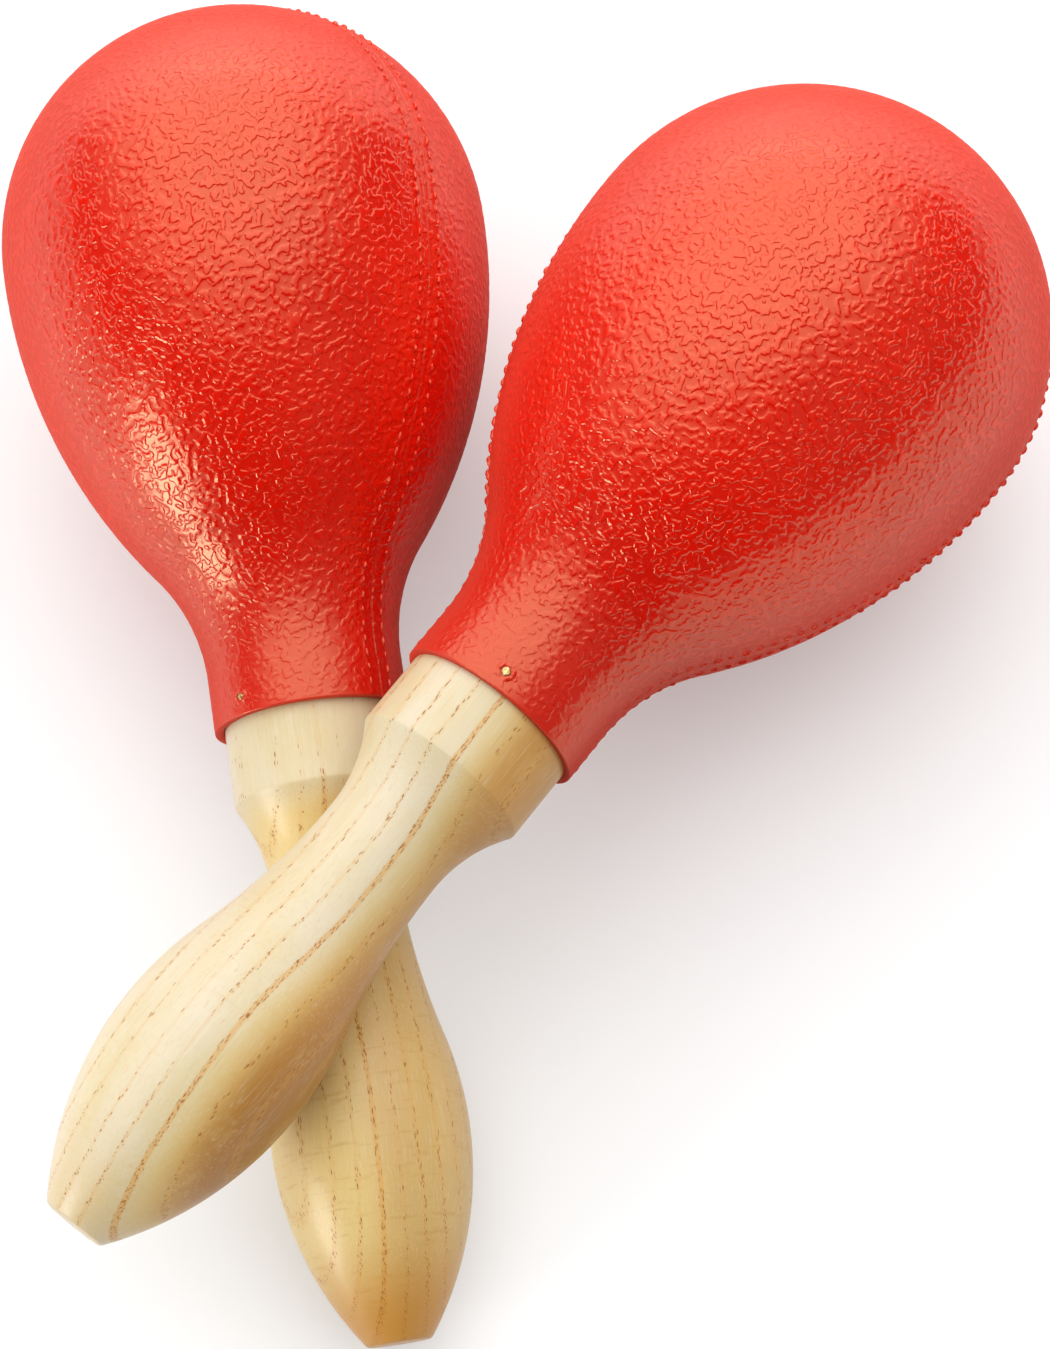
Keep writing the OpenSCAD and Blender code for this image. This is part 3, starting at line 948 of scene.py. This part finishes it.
def stitch_rows(side, tree, material):
    """Two rows of moulded stitches that run up one side of the head, over the crown and down the other."""
    outline = np.array([p for p in shell_outline()[0] if p[1] > HANDLE_L + STITCH_FROM_RIM])
    places, outs, alongs, talls, edges = [], [], [], [], []
    for off in (-STITCH_OFF, STITCH_OFF):
        climb = outline[outline[:, 0] > abs(off)]
        reach = np.sqrt(climb[:, 0] ** 2 - off ** 2)
        up_side = np.column_stack([reach, np.full(len(reach), off), climb[:, 1]])[::-1]
        row = np.concatenate([up_side, (up_side * (-1, 1, 1))[::-1]])
        edges += [(len(places) + i, len(places) + i + 1) for i in range(len(row) - 1)]
        places += row.tolist()
        outs += along_skin(row).tolist()
        alongs += np.gradient(row, axis=0).tolist()
        talls += stitch_height(side, row[:, 2]).tolist()
    mesh = bpy.data.meshes.new(f"{side}_stitches")
    mesh.from_pydata(places, edges, [])
    for key, values in (("out", outs), ("along", alongs)):
        mesh.attributes.new(key, "FLOAT_VECTOR", "POINT").data.foreach_set("vector", np.ravel(values))
    mesh.attributes.new("tall", "FLOAT", "POINT").data.foreach_set("value", talls)
    piece = make_object(f"{side}_stitches", mesh)
    grow(piece, tree, {"Material": material, "Seed": STITCH_SEED + SIDES.index(side)})
    piece.data.transform(LIE[side])
    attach(piece, f"{side}_maraca")
    return piece


def both_sides(places, triangles):
    """A thing on the side of +Y, and the same thing turned to the other side."""
    turned_places = places * (-1, -1, 1)
    return np.concatenate([places, turned_places]), np.concatenate([triangles, triangles + len(places)])


def nails(side, material):
    """Two nails through the neck, with flat heads that are a little square."""
    head_r = NAIL_HEAD_R[side]
    flat = (NAIL_FLAT * head_r, NAIL_RISE)
    step = head_r / NAIL_FLAT_STEPS
    outline = [(0.0, flat[1])] + line((0, flat[1]), flat, step)
    outline += line(flat, (head_r, 0.0), head_r / NAIL_EDGE_STEPS)
    outline += [(NAIL_R, 0.0), (NAIL_R, NAIL_POINT - NAIL_L), (0.0, -NAIL_L)]
    places, triangles, _ = turned(outline, 2 * math.pi, [step] * len(outline))
    triangles = outward(places, np.concatenate(triangles))
    turns = np.arctan2(places[:, 1], places[:, 0])
    square = 1 + NAIL_SQUARE * np.cos(4 * turns) * (places[:, 2] >= 0)
    x, y = places[:, 0] * square, places[:, 1] * square
    places = np.column_stack([x, NECK_R + places[:, 2], NAIL_AT - y])
    places, triangles = both_sides(places, triangles)
    piece = make_object(f"{side}_nails", make_mesh(f"{side}_nails", places, triangles))
    piece.data.materials.append(material)
    piece.data.transform(LIE[side])
    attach(piece, f"{side}_maraca")
    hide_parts(f"{side}_brads")
    return piece


def nail_rings(side, material):
    """Lumpy rings of plastic pushed up round the two nails."""
    turns = np.linspace(0, 2 * math.pi, NAIL_RING_SIDES, endpoint=False)
    lumps = LUMP_MEAN + sum(share * np.sin(count * turns + start) for share, count, start in LUMP_WAVES)
    lumps = np.maximum(LUMP_LEAST, lumps)
    out, height = NAIL_RING.T
    radius = out + NAIL_HEAD_R[side] + NAIL_RING_GAP
    x = radius[:, None] * np.cos(turns)
    z = radius[:, None] * np.sin(turns)
    y = np.sqrt(NECK_R ** 2 - x ** 2) + height[:, None] * np.where(height[:, None] > 0, lumps, 1)
    places = np.stack([x, y, NAIL_AT + z], axis=-1).reshape(-1, 3)
    a = np.arange(len(NAIL_RING) * NAIL_RING_SIDES).reshape(len(NAIL_RING), NAIL_RING_SIDES)
    b = np.roll(a, -1, axis=1)
    d = np.roll(a, -1, axis=0)
    c = np.roll(b, -1, axis=0)
    a, b, c, d = a.ravel(), b.ravel(), c.ravel(), d.ravel()
    triangles = np.concatenate([np.column_stack([a, b, c]), np.column_stack([a, c, d])])
    centred = places - places.mean(axis=0)
    triangles = outward(centred, triangles)
    places, triangles = both_sides(places, triangles)
    piece = make_object(f"{side}_nail_rings", make_mesh(f"{side}_nail_rings", places, triangles))
    piece.data.materials.append(material)
    piece.data.transform(LIE[side])
    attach(piece, f"{side}_maraca")
    return piece


def handle(side, material):
    """A turned handle with its tenon, which needs fewer points than what shows."""
    outline = handle_outline(COLLAR_R[side])
    steps = [WOOD_STEP if height < HANDLE_L + WOOD_STEP else INSIDE_STEP for _, height in outline]
    places, triangles, _ = turned(outline, 2 * math.pi, steps)
    triangles = outward(places, np.concatenate(triangles))
    piece = make_object(f"{side}_turned_handle", make_mesh(f"{side}_turned_handle", places, triangles))
    piece.data.materials.append(material)
    piece.data.transform(LIE[side])
    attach(piece, f"{side}_maraca")
    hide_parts(f"{side}_handle")
    return piece


def dress_nodes(names, material):
    """Gives solids that keep their shape a better finish."""
    for name in names:
        mesh = frame["nodes"][name].data
        mesh.materials.clear()
        mesh.materials.append(material)


# Stage: the camera has the photo's view, with angles in degrees
CAMERA_AIM = Vector((-6.0, -14.5, 30.0)) * MM
CAMERA_FAR = 527.8 * MM
CAMERA_AZIMUTH = 0.405
CAMERA_ELEVATION = 65.647
CAMERA_ROLL = -14.22
CAMERA_LENS = 78.45
SENSOR_W = 36
FLOOR_HALF = 20.0
FLOOR_GREY = (0.6, 0.6, 0.6, 1.0)
FLOOR_GLOW = 0.32

# Glow of the room: the way to its middle, its level all round, what the middle adds, its edge as cosines
GLOW_WAY = Vector((0.061, 0.434, 0.899)).normalized()
GLOW_LOW = 0.02
GLOW_HIGH = 2.4
GLOW_EDGE = (0.5, 0.97)

# Soft panels: azimuth, elevation, distance, width and height in metres, watts, and whether gloss mirrors it
PANELS = {
    "back_panel": (12, 16, 1.3, (2.8, 0.75), 8.0, True),
    "left_panel": (-85, 9, 1.2, (2.2, 0.35), 1.8, True),
    "left_strip": (-111, 11, 0.8, (0.28, 0.38), 3.0, True),
    "right_fill": (120, 42, 1.2, (1.6, 1.2), 6.8, False),
}


def add_camera():
    """A camera that looks down at the pair from the front, rolled as in the photo."""
    data = bpy.data.cameras.new("camera")
    data.lens = CAMERA_LENS
    data.sensor_width = SENSOR_W
    data.clip_start = 0.01
    camera = bpy.data.objects.new("camera", data)
    bpy.context.scene.collection.objects.link(camera)
    azimuth = math.radians(CAMERA_AZIMUTH)
    elevation = math.radians(CAMERA_ELEVATION)
    flat = math.cos(elevation)
    forward = Vector((flat * math.sin(azimuth), flat * math.cos(azimuth), -math.sin(elevation)))
    level = forward.to_track_quat("-Z", "Y").to_matrix().to_4x4()
    roll = Matrix.Rotation(math.radians(CAMERA_ROLL), 4, "Z")
    camera.matrix_world = Matrix.Translation(CAMERA_AIM - CAMERA_FAR * forward) @ level @ roll
    bpy.context.scene.camera = camera


def add_light(name, azimuth, elevation, far, size, power, mirrored):
    """A soft white panel that faces the object; azimuth 0 is at the back and 90 at the right, in degrees.

    A panel that isn't mirrored lights the object but doesn't show in its gloss.
    """
    data = bpy.data.lights.new(name, "AREA")
    data.shape = "RECTANGLE"
    data.size, data.size_y = size
    data.energy = power
    light = bpy.data.objects.new(name, data)
    bpy.context.scene.collection.objects.link(light)
    a, e = math.radians(azimuth), math.radians(elevation)
    way = Vector((math.cos(e) * math.sin(a), math.cos(e) * math.cos(a), math.sin(e)))
    facing = way.to_track_quat("Z", "Y").to_matrix().to_4x4()
    light.matrix_world = Matrix.Translation(CAMERA_AIM + far * way) @ facing
    light.visible_glossy = mirrored


def seen_directly(tree):
    """1 for rays from the camera and for mirrored or refracted views, else 0."""
    camera = add_node(tree, "ShaderNodeLightPath", out="Is Camera Ray")
    glossy = add_node(tree, "ShaderNodeLightPath", out="Is Glossy Ray")
    through = add_node(tree, "ShaderNodeLightPath", out="Is Transmission Ray")
    return camera.most(glossy).most(through)


def add_floor():
    """A pale floor that looks white where it is lit, and keeps the object's shadow."""
    material, tree = new_material("floor_white")
    grey = add_node(tree, "ShaderNodeBsdfDiffuse", None, {"Color": FLOOR_GREY})
    glow = add_node(tree, "ShaderNodeEmission", None, {
        "Color": WHITE, "Strength": FLOOR_GLOW * seen_directly(tree)})
    both = add_node(tree, "ShaderNodeAddShader", None, {0: grey, 1: glow})
    finish_material(tree, both)
    half = FLOOR_HALF
    corners = [(-half, -half, 0), (half, -half, 0), (half, half, 0), (-half, half, 0)]
    mesh = bpy.data.meshes.new("floor")
    mesh.from_pydata(corners, [], [(0, 1, 2, 3)])
    mesh.materials.append(material)
    floor = make_object("floor", mesh)


def add_world():
    """A dim room with a broad soft glow above and behind the object."""
    world = bpy.data.worlds.new("studio")
    bpy.context.scene.world = world
    world.use_nodes = True
    tree = world.node_tree
    tree.nodes.clear()
    way = add_node(tree, "ShaderNodeTexCoord", out="Generated")
    near = way.node("ShaderNodeVectorMath", {"operation": "DOT_PRODUCT"}, {0: way, 1: GLOW_WAY}, "Value")
    strength = GLOW_LOW + GLOW_HIGH * near.smooth(*GLOW_EDGE)
    glow = add_node(tree, "ShaderNodeBackground", None, {"Color": WHITE, "Strength": strength})
    add_node(tree, "ShaderNodeOutputWorld", None, {"Surface": glow})


def main():
    """Dresses both maracas, and sets the stage."""
    bpy.context.scene.view_settings.view_transform = "Standard"
    grain = grain_tree()
    stitches = stitch_tree()
    nail_metal = brass()
    for side in SIDES:
        red = red_plastic(side)
        for half in ("tongue", "groove"):
            shell_half(side, half, grain, red)
        stitch_rows(side, stitches, red)
        handle(side, ash_wood(side))
        nails(side, nail_metal)
        nail_rings(side, red)
    dress_nodes([n for n in frame["nodes"] if "pellets" in n], pellet_ivory())
    add_camera()
    add_floor()
    add_world()
    for name, panel in PANELS.items():
        add_light(name, *panel)


main()
